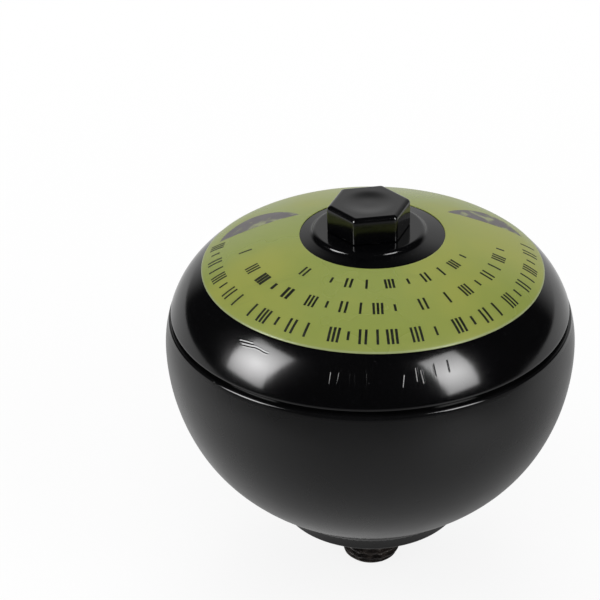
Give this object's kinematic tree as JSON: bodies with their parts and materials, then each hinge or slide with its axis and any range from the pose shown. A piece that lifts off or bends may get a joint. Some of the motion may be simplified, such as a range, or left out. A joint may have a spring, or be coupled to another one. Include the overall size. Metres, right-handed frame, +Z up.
{
  "type": "brake accumulator",
  "caption": "Round steel brake accumulator with a domed gas side, a hexagon charging screw, a ring label, a welded seam and a short threaded port stud.",
  "frame": {"origin": "centre of the flat seat under the flange, where the threaded stud starts", "axes": "+Z up along the vessel's axis from the stud to the charging screw; -Y is the side that the picture is taken from"},
  "size_m": [0.0966, 0.0966, 0.0978],
  "materials": {
    "gloss_black_paint": "gloss",
    "satin_black_paint": "satin",
    "phosphated_steel": "satin",
    "plain_steel": "satin",
    "seal_rubber": "matte",
    "diaphragm_rubber": "matte",
    "label_film": "semi-gloss"
  },
  "bodies": {
    "root": {"gas_shell": "gloss_black_paint", "fluid_shell": "satin_black_paint", "port_fitting": "phosphated_steel", "port_seal": "seal_rubber", "charge_screw": "gloss_black_paint", "charge_seal": "seal_rubber", "diaphragm": "diaphragm_rubber", "clamp_ring": "plain_steel", "label": "label_film"},
    "button": {"closing_button": "plain_steel"}
  },
  "joints": [
    {"name": "button_lift", "type": "slide", "parent": "root", "child": "button", "axis": [0, 0, 1], "range_m": [0, 0.028], "stiffness_N_per_m": 60, "springref_m": -0.01, "deforming": ["diaphragm"]}
  ]
}
